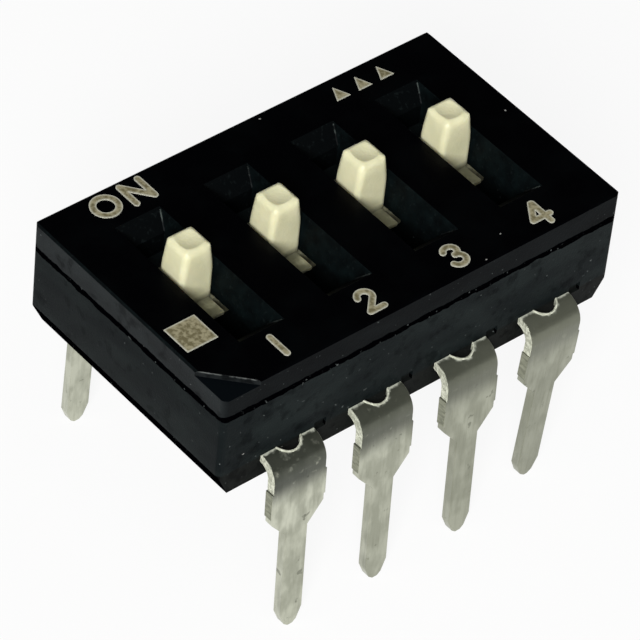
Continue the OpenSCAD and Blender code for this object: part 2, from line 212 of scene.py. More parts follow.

# %% [markdown]
# ## The black plastics
# Base and cover are PBT, a polyester that is filled with short glass fibres so that it
# stands the heat of soldering. The fibres leave its moulded skin dull and very slightly
# mottled, with a pale speck where a fibre lies open. A dark line of painted shade runs
# along the joint between base and cover and along the line where the mould parted, for
# the shade deep in their grooves, and pale grit lies in it. Some sides get a painted
# shade as well, by the axis they face.

# %% Moulded PBT of the base and of the cover's band
def moulded_pbt(name, dark, light, sheen, joints, painted_side_shade, lower=None):
    """sheen is the specular level. The side shade gives the axis whose faces get a painted
    shade, and how much. lower is a level and the colour below it; the leaning ends below it
    get a painted shade that makes them nearly black."""
    made, tree, shader = new_material(name, **{"Roughness": 0.55, "IOR": 1.5})
    place = object_place(tree)
    streaked = object_place(tree, (0.4, 0.4, 1))
    coats = [(drift(tree, streaked, 0.6, 0.35, 0.7), 1.0, light)]
    shades = [(drift(tree, place, 0.3, 0.5, 0.68, seed=11.0), 0.42),
              (facing(tree, painted_side_shade[0]), painted_side_shade[1])]
    if lower:
        below = above_level(tree, lower[0], -0.04)
        coats.append((below, 1.0, lower[1]))
        # Painted shade on the leaning ends below the parting line, by how much they face along X.
        ends = add(tree, "ShaderNodeMath", {"Value": below, "Value_001": facing(tree, "X")},
                   operation="MULTIPLY").outputs["Value"]
        shades.append((ends, 1.2))
    fibres = drift(tree, place, 0.1, 0.71, 0.8, detail=1.0, seed=3.0)
    # Painted shade: a dark line along each joint stands in for the shade in its groove; pale grit
    # sits in it.
    for level, half_mm, ragged_mm in joints:
        line = band_near(tree, level, half_mm, ragged_mm, 0.3)
        shades.append((line, 1.0))
        grit = drift(tree, place, 0.09, 0.69, 0.76, detail=1.0, seed=13.0)
        held = add(tree, "ShaderNodeMath", {"Value": grit, "Value_001": line},
                   operation="MULTIPLY")
        fibres = add(tree, "ShaderNodeMath",
                     {"Value": fibres, "Value_001": held.outputs["Value"]},
                     operation="MAXIMUM").outputs["Value"]
    # The darkest of the random blots and the painted shades wins.
    shade = 0.0
    for pattern, most in shades:
        part = add(tree, "ShaderNodeMath", {"Value": pattern, "Value_001": most},
                   operation="MULTIPLY")
        shade = add(tree, "ShaderNodeMath", {"Value": shade, "Value_001": part.outputs["Value"]},
                    operation="MAXIMUM").outputs["Value"]
    coats += [(shade, 1.0, "#010102"), (fibres, 0.8, "#676c6b")]
    gloss = add(tree, "ShaderNodeMapRange", {"Value": shade, "To Min": sheen, "To Max": 0.0})
    tree.links.new(gloss.outputs["Result"], shader.inputs["Specular IOR Level"])
    finish(tree, shader, coated(tree, dark, coats),
           drift(tree, place, 0.05, 0.2, 0.8, seed=7.0), 0.004)
    return made


# Painted shade: the base's sides that face along X and the band's sides that face along Y are
# painted darker, and so is the base's leaning lower end.
base_pbt = moulded_pbt(
    "moulded_black_pbt", "#111617", "#1b2121", 0.033,
    [(rim_z, 0.105, 0.085), (parting_z, 0.045, 0.045)], ("X", 0.22), (parting_z, "#141615"))
cover_edge_pbt = moulded_pbt(
    "moulded_black_pbt_cover_edge", "#191c1d", "#212526", 0.048, [(rim_z, 0.075, 0.06)],
    ("Y", 0.6))
print("made", base_pbt.name, "and", cover_edge_pbt.name)

# %% [markdown]
# The cover's face was moulded against a polished plate, so it looks blacker than the sides:
# a smooth skin sends the light away in one direction, and little of it comes back. Its
# colour is painted blacker too, a painted shade for the dark room that it mirrors. The
# funnels' steel was not polished, so their walls are dull and mottled, and their long
# walls are painted paler, a painted light. The riser of the stepped corner gets a painted
# highlight along its top edge.

# %% Polished PBT of the cover's face
def polished_pbt(name):
    """The ledge of the stepped corner, below the face, was left a little duller."""
    made, tree, shader = new_material(
        name, **{"Roughness": 0.26, "Specular IOR Level": 0.04, "IOR": 1.5})
    place = object_place(tree)
    # Painted shade: the near-black ground is darker than the same plastic on the sides.
    coats = [(drift(tree, place, 0.9, 0.4, 0.75, seed=2.0), 1.0, "#030405"),
             (drift(tree, place, 0.16, 0.66, 0.8, seed=5.0), 0.3, "#101314"),
             (above_level(tree, top_z - 0.06 * MM, -0.02), 1.0, "#070b0e")]
    finish(tree, shader, coated(tree, "#010102", coats),
           drift(tree, place, 0.06, 0.2, 0.8, seed=9.0), 0.001)
    return made


cover_face_pbt = polished_pbt("polished_black_pbt")
print("made", cover_face_pbt.name)

# %% Dull PBT of the funnels
def funnel_dull_pbt(name):
    """The walls at the funnels' long sides are painted paler than those at their ends, a painted
    light.
    """
    made, tree, shader = new_material(
        name, **{"Roughness": 0.6, "Specular IOR Level": 0.05, "IOR": 1.5})
    place = object_place(tree)
    mottle = drift(tree, place, 0.26, 0.22, 0.78, detail=5.0, seed=21.0)
    # Painted light: the walls that face along X are painted paler, in mottled patches.
    walls = add(tree, "ShaderNodeMath", {"Value": facing(tree, "X"), "Value_001": mottle},
                operation="MULTIPLY").outputs["Value"]
    spots = drift(tree, place, 0.11, 0.56, 0.72, detail=3.0, seed=22.0)
    coats = [(walls, 1.0, "#0a1213"), (spots, 0.25, "#222a2a")]
    finish(tree, shader, coated(tree, "#030506", coats), spots, 0.004)
    return made


funnel_pbt = funnel_dull_pbt("mould_dull_black_pbt")
print("made", funnel_pbt.name)

# %% PBT with a painted highlight, for the riser and the funnels' fillets
def pbt_with_painted_highlight(name, level, half_mm, pale):
    """Pale and spotted near a level, a painted highlight, and dark away from it."""
    made, tree, shader = new_material(
        name, **{"Roughness": 0.6, "Specular IOR Level": 0.05, "IOR": 1.5})
    place = object_place(tree)
    spotting = drift(tree, place, 0.14, 0.36, 0.6, detail=2.0, seed=31.0)
    # Painted highlight: the pale band near the level.
    near = add(tree, "ShaderNodeMath",
               {"Value": band_near(tree, level, half_mm, 0.02, 0.1), "Value_001": spotting},
               operation="MULTIPLY").outputs["Value"]
    coats = [(spotting, 1.0, "#1c1f20"), (near, 1.0, pale)]
    finish(tree, shader, coated(tree, "#0e1011", coats), spotting, 0.004)
    return made


# The riser's painted highlight runs along its top edge; the fillets' lies on their upper part.
riser_pbt = pbt_with_painted_highlight("painted_highlight_black_pbt", top_z, 0.042, "#565957")
fillet_pbt = pbt_with_painted_highlight("fillet_black_pbt", top_z - 0.12 * MM, 0.14, "#444b48")
print("made", riser_pbt.name, "and", fillet_pbt.name)

# %% [markdown]
# ## Cream slides
# The slides are nylon with a little pigment. Light enters it for a few tenths of a
# millimetre before it comes out again, which softens every edge, so the shader gets a
# little subsurface scattering. The rib, deep in the slot, gets an olive painted shade.

# %% Cream nylon
def cream_nylon(name):
    made, tree, shader = new_material(
        name, **{"Roughness": 0.42, "IOR": 1.53, "Subsurface Weight": 0.12,
                 "Subsurface Radius": (0.5, 0.4, 0.2), "Subsurface Scale": MM})
    place = object_place(tree)
    z = add(tree, "ShaderNodeSeparateXYZ", {"Vector": place}).outputs["Z"]
    low = add(tree, "ShaderNodeMapRange",
              {"Value": z, "From Min": top_z - 0.72 * MM, "From Max": top_z - 0.9 * MM})
    patchy = drift(tree, place, 0.4, 0.1, 0.5, seed=4.0)
    # Painted shade: the rib deep in the slot is painted olive and darker, in patches.
    painted_slot_shade = add(tree, "ShaderNodeMath",
                {"Value": low.outputs["Result"], "Value_001": patchy},
                operation="MULTIPLY").outputs["Value"]
    coats = [(drift(tree, place, 0.5, 0.3, 0.7), 1.0, "#e6e2bb"), (painted_slot_shade, 0.9, "#706f59")]
    finish(tree, shader, coated(tree, "#dbd8b1", coats),
           drift(tree, place, 0.08, 0.2, 0.8, seed=6.0), 0.003)
    return made


slide_nylon = cream_nylon("cream_nylon")
print("made", slide_nylon.name)

# %% [markdown]
# ## Metals
# The leads are copper alloy strip with matte tin over it. Tin that is plated matte has a
# fine satin grain, and the press that cut and bent the strip drew faint streaks down it.
# Where the web between two leads was cut off after plating, the bare alloy shows dull.

# %% Matte tin plating
# How far in from the wall a lock hole's middle lies, and the hole's radius.
HOLE_IN = 0.14 * MM
HOLE_R = 0.38 * MM


def torn_rim(tree):
    """1 near the body's wall and round a lock hole, where the shear tore the tin."""
    place = object_place(tree)
    ragged = add(tree, "ShaderNodeMath",
                 {"Value": drift(tree, place, 0.12, 0.2, 0.8, seed=17.0),
                  "Value_001": 0.09 * MM}, operation="MULTIPLY").outputs["Value"]
    cell = add(tree, "ShaderNodeVectorMath",
               {"Vector": place, "Vector_001": (PITCH, 1.0, 1.0)}, operation="MODULO")
    folded = add(tree, "ShaderNodeVectorMath", {"Vector": cell.outputs["Vector"]},
                 operation="ABSOLUTE").outputs["Vector"]
    axis = (PITCH / 2, base_high.y - HOLE_IN, 0.0)
    flat = add(tree, "ShaderNodeVectorMath",
               {"Vector": folded, "Vector_001": (1.0, 1.0, 0.0)}, operation="MULTIPLY")
    away = add(tree, "ShaderNodeVectorMath",
               {"Vector": flat.outputs["Vector"], "Vector_001": axis}, operation="DISTANCE")
    outward = add(tree, "ShaderNodeSeparateXYZ", {"Vector": folded}).outputs["Y"]
    near = []
    for distance, edge in ((away.outputs["Value"], HOLE_R + 0.045 * MM),
                           (outward, base_high.y + 0.07 * MM)):
        uneven = add(tree, "ShaderNodeMath", {"Value": distance, "Value_001": ragged})
        near.append(add(tree, "ShaderNodeMapRange",
                        {"Value": uneven.outputs["Value"], "From Min": edge,
                         "From Max": edge + 0.06 * MM, "To Min": 1.0, "To Max": 0.0}
                        ).outputs["Result"])
    either = add(tree, "ShaderNodeMath", {"Value": near[0], "Value_001": near[1]},
                 operation="MAXIMUM")
    upper = above_level(tree, parting_z - 0.3 * MM, 0.05)
    return add(tree, "ShaderNodeMath", {"Value": either.outputs["Value"], "Value_001": upper},
               operation="MULTIPLY").outputs["Value"]


def matte_tin(name, pale, dull):
    """A patchy painted shade darkens the bend, from where it starts down to the shoulder, and
    makes it partly not metal: a painted reflection of the dark room that the bend mirrors.
    The pins are painted a little darker, and a painted shade darkens the far leads."""
    made, tree, shader = new_material(name)
    place = object_place(tree)
    along = object_place(tree, (1, 1, 0.12))
    where = add(tree, "ShaderNodeSeparateXYZ", {"Vector": place}).outputs
    streaks = drift(tree, along, 0.09, 0.45, 0.75, seed=1.0)
    scuffs = drift(tree, place, 0.22, 0.65, 0.71, seed=8.0)
    # Painted shade: the bend is darkened and made partly non-metal, for the dark it mirrors.
    bend_reach = add(tree, "ShaderNodeMapRange",
                {"Value": where["Z"], "From Min": parting_z - 1.45 * MM,
                 "From Max": parting_z - 0.65 * MM, "To Max": 0.92},
                interpolation_type="SMOOTHSTEP").outputs["Result"]
    patchy = drift(tree, place, 0.18, 0.08, 0.42, seed=12.0)
    painted_bend_shade = add(tree, "ShaderNodeMath", {"Value": bend_reach, "Value_001": patchy},
                operation="MULTIPLY").outputs["Value"]
    # Painted shade: the leads darken towards +X, the far end of the line of leads.
    painted_row_shade = add(tree, "ShaderNodeMapRange",
              {"Value": where["X"], "From Min": -3.8 * MM, "From Max": 3.0 * MM,
               "To Max": 0.62}).outputs["Result"]
    torn = torn_rim(tree)
    colour = coated(tree, dull, [
        (drift(tree, object_place(tree, (1, 1, 0.5)), 0.4, 0.38, 0.62), 1.0, pale),
        (streaks, 0.3, "#8b8d7c"),
        (scuffs, 0.7, "#5f6154"),
        (painted_bend_shade, 1.0, "#2f332b"),
        (above_level(tree, parting_z - 1.9 * MM, -0.7), 0.25, "#8e907e"),
        (painted_row_shade, 1.0, "#7c7e6e"),
        (torn, 1.0, "#b2b5a6")])
    # The painted bend shade also takes metal away, so that it stays dark.
    bend_non_metal = add(tree, "ShaderNodeMath", {"Value": painted_bend_shade, "Value_001": 0.45},
               operation="MULTIPLY")
    for first, second, socket, bare, covered in (
            (torn, bend_non_metal.outputs["Value"], "Metallic", 1.0, 0.0),
            (streaks, torn, "Roughness", 0.28, 0.42)):
        most = add(tree, "ShaderNodeMath", {"Value": first, "Value_001": second},
                   operation="MAXIMUM")
        level = add(tree, "ShaderNodeMapRange",
                    {"Value": most.outputs["Value"], "To Min": bare, "To Max": covered})
        tree.links.new(level.outputs["Result"], shader.inputs[socket])
    finish(tree, shader, colour, drift(tree, along, 0.05, 0.2, 0.8, seed=2.0), 0.002)
    return made


lead_tin = matte_tin("matte_tin_plating", "#cdcfbd", "#a9ab9a")
print("made", lead_tin.name)

# %% Tin oxide on cut edges
def tin_oxide(name):
    """A chalky bloom that scatters light like plaster, so it is pale from every side."""
    made, tree, shader = new_material(name, **{"Roughness": 0.8, "IOR": 1.5})
    place = object_place(tree)
    bloom = drift(tree, place, 0.09, 0.35, 0.65, seed=15.0)
    colour = coated(tree, "#a6a896", [(bloom, 1.0, "#cfd1bf")])
    finish(tree, shader, colour, bloom, 0.015)
    return made


edge_tin = tin_oxide("tin_oxide_bloom")
print("made", edge_tin.name)

# %% Sheared copper alloy
def sheared_alloy(name):
    made, tree, shader = new_material(name, **{"Metallic": 1.0, "Roughness": 0.5})
    tears = drift(tree, object_place(tree, (1, 0.3, 1)), 0.06, 0.3, 0.7)
    colour = coated(tree, "#7c7e6e", [(tears, 1.0, "#a2a490")])
    finish(tree, shader, colour, tears, 0.006)
    return made


web_alloy = sheared_alloy("sheared_copper_alloy")
print("made", web_alloy.name)

# %% Phosphor bronze strip
def bronze_strip(name):
    made, tree, shader = new_material(name, **{"Metallic": 1.0, "Roughness": 0.32})
    rolled = drift(tree, object_place(tree, (1, 0.15, 1)), 0.05, 0.3, 0.7)
    colour = coated(tree, "#b08a52", [(rolled, 1.0, "#c79f63")])
    finish(tree, shader, colour, rolled, 0.001)
    return made


spring_bronze = bronze_strip("phosphor_bronze")
print("made", spring_bronze.name)

# %% [markdown]
# ## Ink
# The figures are pad printed: a soft pad lifts ink from an etched plate and dabs it on.
# Surface tension draws the wet ink to its edge, so a dry figure is paler along its rim and
# thin and blotchy in its middle. Each ink mesh stores how far a point is from the edge.

# %% Pad-printed ink
RIM = "rim"


def pad_ink(name):
    made, tree, shader = new_material(name, **{"Roughness": 0.55})
    place = object_place(tree)
    edge = add(tree, "ShaderNodeAttribute", attribute_name=RIM).outputs["Fac"]
    coats = [(drift(tree, place, 0.1, 0.38, 0.62), 1.0, "#9f987a"), (edge, 1.0, "#c4c3b2")]
    finish(tree, shader, coated(tree, "#6d6649", coats),
           drift(tree, place, 0.05, 0.2, 0.8), 0.003)
    return made


print_ink = pad_ink("pad_printed_tan_ink")
print("made", print_ink.name)

# %% [markdown]
# ## From an engineering mesh to a dressed one
# The frame's meshes are loose triangles with knife edges. A copy is merged, its flat faces
# are joined again, and a Bevel modifier rounds its edges by the few hundredths of a
# millimetre that a mould or a press leaves. The copy then replaces the plain node.

# %% Dressed copies
MERGE = 0.0005 * MM
SHARP = math.radians(28)
SLIVER = 0.0003 * MM ** 2


def new_piece(name, mesh):
    piece = bpy.data.objects.new(name, mesh)
    scene.collection.objects.link(piece)
    return piece


def merged_mesh(node):
    """A copy of a node's mesh with its doubles merged and its flat faces joined."""
    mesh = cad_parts[node].data.copy()
    mesh.materials.clear()
    bm = bmesh.new()
    bm.from_mesh(mesh)
    bmesh.ops.remove_doubles(bm, verts=bm.verts, dist=MERGE)
    bmesh.ops.dissolve_limit(
        bm, angle_limit=math.radians(0.5), verts=bm.verts, edges=bm.edges)
    bm.to_mesh(mesh)
    bm.free()
    if "custom_normal" in mesh.attributes:
        mesh.attributes.remove(mesh.attributes["custom_normal"])
    mesh.shade_smooth()
    mesh.set_sharp_from_angle(angle=SHARP)
    return mesh


def round_edges(piece, width_mm, width_at=None, segments=3):
    """Rounds the sharp edges by width_mm, or by what width_at gives for an edge's ends."""
    mesh = piece.data
    turns, areas = {}, {}
    for face in mesh.polygons:
        for key in face.edge_keys:
            turns.setdefault(key, []).append(face.normal)
            areas.setdefault(key, []).append(face.area)
    widths = []
    for edge in mesh.edges:
        normals = turns[edge.key]
        sharp = len(normals) == 2 and normals[0].dot(normals[1]) < math.cos(SHARP)
        sharp = sharp and min(areas[edge.key]) > SLIVER
        ends = [mesh.vertices[k].co for k in edge.vertices]
        special = width_at(*ends) if width_at else None
        widths.append((width_mm if special is None else special) if sharp else 0.0)
    most = max(widths)
    layer = mesh.attributes.new("bevel_weight_edge", "FLOAT", "EDGE")
    layer.data.foreach_set("value", [w / most for w in widths])
    bevel = piece.modifiers.new("soft edges", "BEVEL")
    bevel.width = most * MM
    bevel.segments = segments
    bevel.limit_method = "WEIGHT"
    bevel.use_clamp_overlap = True
    bevel.harden_normals = True


def dressed(name, node, materials, width_mm, width_at=None):
    """A merged copy of a node with rounded edges, which stands for it."""
    piece = new_piece(name, merged_mesh(node))
    for one in materials:
        piece.data.materials.append(one)
    round_edges(piece, width_mm, width_at)
    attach(piece, "housing")
    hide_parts(node)
    return piece


print("edges sharper than", round(math.degrees(SHARP)), "degrees get rounded")

# %% [markdown]
# ## Base
# One moulding round the leads. Its lower band leans in from the parting line, most at the
# two ends, so that the mould's lower half could let go of it.

# %% Dress the base
base = dressed("base_moulding", "base", [base_pbt], 0.035)
print("base has", len(base.data.polygons), "faces before its edges are rounded")

# %% [markdown]
# ## Cover
# The face and the corner's floor are polished, the band round the outside is not, and the
# funnels are duller still, so the cover carries four finishes. Each face gets its finish
# by where it lies. Each funnel's right upper edge is rounded more than the rest, because
# the steel that shaped it was polished by hand.

# %% Dress the cover
FACE, BAND, FUNNEL, RISER = range(4)
# The stepped corner lies within this distance of the cover's own corner.
STEP_REACH = 1.2 * MM


def funnel_rim(first, second):
    """The width for a funnel's right upper edge, and none for other edges."""
    level = min(first.z, second.z) > top_z - CLOSE
    along_y = abs(first.y - second.y) > 2 * MM and abs(first.x - second.x) < CLOSE
    right = (first.x + SWITCHES / 2 * PITCH) % PITCH > PITCH / 2
    inside = max(abs(first.y), abs(second.y)) < FUNNELS_Y
    return 0.09 if level and along_y and right and inside else None


def cover_finish(face):
    middle, normal = face.center, face.normal
    out_x = abs(middle.x) > cover_high.x - 0.02 * MM
    out_y = abs(middle.y) > cover_high.y - 0.02 * MM
    leans_out = abs(normal.x) > 0.1 and abs(normal.y) > 0.1 and abs(normal.z) < 0.1
    in_step = middle.x < cover_low.x + STEP_REACH and middle.y < cover_low.y + STEP_REACH
    if leans_out and in_step and abs(normal.x + 0.707) < 0.05 and middle.z > top_z - 0.2 * MM:
        return RISER
    if ((out_x or out_y) and abs(normal.z) < 0.5) or leans_out:
        return BAND
    if middle.z < top_z - CLOSE and abs(middle.y) < FUNNELS_Y:
        return FUNNEL
    return FACE


cover = dressed("cover_moulding", "cover",
                [cover_face_pbt, cover_edge_pbt, funnel_pbt, riser_pbt], 0.025,
                funnel_rim)
for face in cover.data.polygons:
    face.material_index = cover_finish(face)
finishes = [f.material_index for f in cover.data.polygons]
print("cover faces by finish:", [finishes.count(k) for k in range(4)])

# %% [markdown]
# ## Slides
# A slide is a knob on a winged plate. The knob is nearly square, its left and right sides
# lean in a little, its shoulders are round, and a shallow round dish in its top takes a
# pen's tip. It is built as rings of points on rays from its middle line: the rings climb
# the sides, go over the shoulders to the dish's rim, and then run down into the dish. The
# rim is where the shoulders and the dish are equally high, so the crease stays crisp.

# %% Measure the knobs
slide_low, slide_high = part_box("slide_1")
knob_points = [v.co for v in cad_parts["slide_1"].data.vertices
               if v.co.z > top_z - CLOSE]
KNOB_HALF_X = (max(c.x for c in knob_points) - min(c.x for c in knob_points)) / 2
KNOB_HALF_Y = (max(c.y for c in knob_points) - min(c.y for c in knob_points)) / 2
KNOB_TOP = slide_high.z
KNOB_LEAN = 0.07 * MM
CORNER_LOW = 0.13 * MM
CORNER_HIGH = 0.17 * MM
TOP_ROUND = 0.19 * MM
DISH_HALF = 0.345 * MM
DISH_DEPTH = 0.06 * MM
BULGE = 0.012
print(f"knob {2 * KNOB_HALF_X / MM:.2f} x {2 * KNOB_HALF_Y / MM:.2f} mm at the cover's face, "
      f"{(KNOB_TOP - top_z) / MM:.2f} mm high above it")

# %% Rings of a knob
RING = 96
HALVINGS = 40
turn = np.linspace(0, 2 * math.pi, RING, endpoint=False)
RAY_X, RAY_Y = np.cos(turn), np.sin(turn)


def reach(height, far):
    """How far along each ray a height function stays positive, by halving."""
    near, far = np.zeros(RING), np.full(RING, far)
    for _ in range(HALVINGS):
        middle = (near + far) / 2
        inside = height(middle * RAY_X, middle * RAY_Y) > 0
        near, far = np.where(inside, middle, near), np.where(inside, far, middle)
    return near


def wall_reach(half_x, half_y, corner):
    """How far a rectangle with round corners reaches along each ray."""
    def inside(x, y):
        over_x = np.maximum(np.abs(x) - half_x + corner, 0)
        over_y = np.maximum(np.abs(y) - half_y + corner, 0)
        return corner - np.hypot(over_x, over_y)
    return reach(inside, half_x + half_y)


def shoulder(x, y):
    """Height of the knob's top without its dish."""
    over_x = np.maximum(np.abs(x) - KNOB_HALF_X + KNOB_LEAN + TOP_ROUND, 0)
    over_y = np.maximum(np.abs(y) - KNOB_HALF_Y + TOP_ROUND, 0)
    over = (over_x ** 5 + over_y ** 5) ** 0.2
    return KNOB_TOP - TOP_ROUND + np.sqrt(np.maximum(TOP_ROUND ** 2 - over ** 2, 0))


def dish(x, y):
    """Height of the dish's surface."""
    return KNOB_TOP + DISH_DEPTH * ((x ** 2 + y ** 2) / DISH_HALF ** 2 - 1)


def ring(radius, z):
    return np.stack([radius * RAY_X, radius * RAY_Y, z + np.zeros(RING)], 1)


def knob_rings(low):
    """Rings from the knob's foot up its sides, over its shoulders and into its dish."""
    rings = []
    turn_z = KNOB_TOP - TOP_ROUND
    for part in np.linspace(0, 1, 10):
        z = low + (turn_z - low) * part
        up = max(0.0, (z - top_z) / (turn_z - top_z))
        radius = wall_reach(KNOB_HALF_X - KNOB_LEAN * up, KNOB_HALF_Y,
                            CORNER_LOW + (CORNER_HIGH - CORNER_LOW) * up)
        belly = 1 + BULGE * math.sin(math.pi * part) * np.cos(2 * turn) ** 2
        rings.append(ring(radius * belly, z))
    outer = wall_reach(KNOB_HALF_X - KNOB_LEAN, KNOB_HALF_Y, CORNER_HIGH)
    rim = reach(lambda x, y: shoulder(x, y) - dish(x, y), 2 * KNOB_HALF_X)
    for part in np.sin(np.linspace(0, math.pi / 2, 12))[1:]:
        radius = outer + (rim - outer) * part
        rings.append(ring(radius, shoulder(radius * RAY_X, radius * RAY_Y)))
    for part in np.linspace(1, 0, 9)[1:-1]:
        radius = rim * part
        rings.append(ring(radius, dish(radius * RAY_X, radius * RAY_Y)))
    return rings


def loft(bm, rings, place):
    """Joins rings of points with quads and closes both ends."""
    rows = [[bm.verts.new(Vector(p) + place) for p in points] for points in rings]
    for lower, upper in zip(rows, rows[1:]):
        for k in range(RING):
            after = (k + 1) % RING
            bm.faces.new([lower[k], lower[after], upper[after], upper[k]])
    bm.faces.new(list(reversed(rows[0])))
    bm.faces.new(rows[-1])


print("a knob has", RING, "rays and", len(knob_rings(top_z - MM)), "rings")

# %% [markdown]
# Under the knob lie two wings, which run under the cover, and a rib, which runs in the
# slot. The rib's ends are thin noses whose undersides slope back to the wings, so that
# only a thin strip shows in front of the knob. A peg below holds the spring.

# %% Build the four slides
RIB_HALF_X = 0.37 * MM
RIB_HALF_Y = (slide_high.y - slide_low.y) / 2
RIB_TOP = top_z - 0.92 * MM
RIB_H = 0.1 * MM
WING_HALF_X = (slide_high.x - slide_low.x) / 2
WING_HALF_Y = 0.42 * MM
WING_T = 0.7 * MM
PEG_R = 0.18 * MM
# How deep the knob's foot and the peg's root stand in the wings.
KNOB_FOOT = 0.3 * MM
PEG_ROOT = 0.1 * MM


def softened(bm, part, edge_mm):
    """Adds a part to a mesh, with its edges rounded."""
    bmesh.ops.recalc_face_normals(part, faces=part.faces)
    sharp = [e for e in part.edges if e.calc_face_angle(0.0) > SHARP]
    bmesh.ops.bevel(part, geom=sharp, offset=edge_mm * MM, segments=3, profile=0.5,
                    affect="EDGES")
    mesh = bpy.data.meshes.new("part")
    part.to_mesh(mesh)
    part.free()
    bm.from_mesh(mesh)
    bpy.data.meshes.remove(mesh)


def bar_across(bm, half_x, profile, place, edge_mm):
    """A bar along X, whose section is given as points in Y and Z."""
    part = bmesh.new()
    near = [part.verts.new(Vector((-half_x, y, z)) + place) for y, z in profile]
    far = [part.verts.new(Vector((half_x, y, z)) + place) for y, z in profile]
    part.faces.new(near)
    part.faces.new(list(reversed(far)))
    for k in range(len(profile)):
        part.faces.new([near[k - 1], near[k], far[k], far[k - 1]])
    softened(bm, part, edge_mm)


def build_slide(i):
    low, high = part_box(f"slide_{i}")
    middle = Vector(((low.x + high.x) / 2, (low.y + high.y) / 2, 0))
    wing_top = RIB_TOP - RIB_H
    wing_low = wing_top - WING_T
    slope_z = wing_top - min(RIB_HALF_Y - WING_HALF_Y, WING_T) + 0.02 * MM
    bm = bmesh.new()
    loft(bm, knob_rings(wing_top - KNOB_FOOT), middle)
    bar_across(bm, WING_HALF_X, [
        (-WING_HALF_Y, wing_low), (WING_HALF_Y, wing_low),
        (WING_HALF_Y, wing_top), (-WING_HALF_Y, wing_top)], middle, 0.04)
    bar_across(bm, RIB_HALF_X, [
        (-RIB_HALF_Y, RIB_TOP), (-RIB_HALF_Y, wing_top), (-WING_HALF_Y, slope_z),
        (WING_HALF_Y, slope_z), (RIB_HALF_Y, wing_top), (RIB_HALF_Y, RIB_TOP)], middle, 0.025)
    peg = bmesh.new()
    bmesh.ops.create_cone(
        peg, cap_ends=True, segments=32, radius1=PEG_R, radius2=PEG_R,
        depth=wing_low - low.z + PEG_ROOT,
        matrix=Matrix.Translation(middle + Vector((0, 0, (wing_low + low.z + PEG_ROOT) / 2))))
    softened(bm, peg, 0.03)
    mesh = bpy.data.meshes.new(f"slide_{i}_moulding")
    bm.to_mesh(mesh)
    bm.free()
    mesh.materials.append(slide_nylon)
    mesh.shade_smooth()
    mesh.set_sharp_from_angle(angle=math.radians(50))
    piece = new_piece(f"slide_{i}_moulding", mesh)
    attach(piece, f"slider_{i}")
    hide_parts(f"slide_{i}")
    return piece


slides = [build_slide(i) for i in range(1, SWITCHES + 1)]
print("slides:", [s.name for s in slides])

# %% [markdown]
# ## Leads
# Each lead is a strip that was punched flat, plated, moulded in and then bent down. A
# punch leaves rounded edges on one side. The web that once joined the leads stands out a
# little on both sides, cut bare.

# %% Dress the leads
TIN, WEB, CUT = range(3)
# From this height up, a lead's cut edges have a chalky bloom.
BLOOM_FROM = 4.0 * MM


def hole_axis(i):
    """Where the lock hole of a lead stands, in X and Y."""
    low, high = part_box(f"lead_{i}")
    wall = base_low.y + HOLE_IN if low.y < base_low.y else base_high.y - HOLE_IN
    return Vector(((low.x + high.x) / 2, wall))


def build_lead(i):
    axis = hole_axis(i)

    def width_at(first, second):
        """No rounding round the lock hole, where a burr is left."""
        far = max(abs((end.xy - axis).length - HOLE_R) for end in (first, second))
        return 0.0 if far < 0.02 * MM else None

    piece = dressed(f"lead_{i}_pressing", f"lead_{i}", [lead_tin, web_alloy, edge_tin], 0.03,
                    width_at)
    low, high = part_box(f"lead_{i}")
    outermost = (high.x - low.x) / 2 - CLOSE
    for face in piece.data.polygons:
        beyond = abs(face.center.x - axis.x) > outermost
        beside = abs(face.normal.x) > 0.9
        if beside and beyond:
            face.material_index = WEB
        elif beside and face.center.z > BLOOM_FROM:
            face.material_index = CUT
        else:
            face.material_index = TIN
    return piece


leads = [build_lead(i) for i in range(1, LEADS + 1)]
webs = [f for lead in leads for f in lead.data.polygons if f.material_index == WEB]
print("bare web faces:", len(webs))

# %% [markdown]
# ## Contact springs
# They are hidden under the slides, so the engineering meshes stay and only get bronze.

# %% Finish the springs
for i in range(1, SWITCHES + 1):
    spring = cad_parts[f"contact_spring_{i}"]
    spring.data.materials.clear()
    spring.data.materials.append(spring_bronze)
print("springs in", spring_bronze.name)

# %% [markdown]
# ## Printed figures
# The ink meshes are cut into a fine grid, so that the rim attribute can change smoothly
# from a figure's edge to the middle of its stroke.

# %% Ink with a rim
INK_GRID = 0.024 * MM
RIM_WIDTH = 0.046 * MM


def cut_into_grid(bm, low, high):
    """Cuts a mesh along lines in X and in Y."""
    for axis in (0, 1):
        normal = Vector((1, 0, 0)) if axis == 0 else Vector((0, 1, 0))
        for at in np.arange(low[axis] + INK_GRID, high[axis], INK_GRID):
            bmesh.ops.bisect_plane(
                bm, geom=bm.verts[:] + bm.edges[:] + bm.faces[:], dist=MERGE,
                plane_co=normal * at, plane_no=normal)


def edge_segments(bm):
    """The outline's straight bits, as pairs of points in X and Y."""
    walls = [e for e in bm.edges if e.is_boundary or
             any(abs(f.normal.z) < 0.5 for f in e.link_faces)]
    flat = [e for e in walls if abs(e.verts[0].co.z - e.verts[1].co.z) < MERGE]
    return np.array([[v.co.xy[:] for v in e.verts] for e in flat])


def distance_to(points, segments):
    """Each point's distance to the nearest of the segments."""
    a, b = segments[None, :, 0], segments[None, :, 1]
    run = b - a
    part = ((points[:, None] - a) * run).sum(2) / np.maximum((run ** 2).sum(2), 1e-18)
    near = a + np.clip(part, 0, 1)[..., None] * run
    return np.sqrt(((points[:, None] - near) ** 2).sum(2)).min(1)


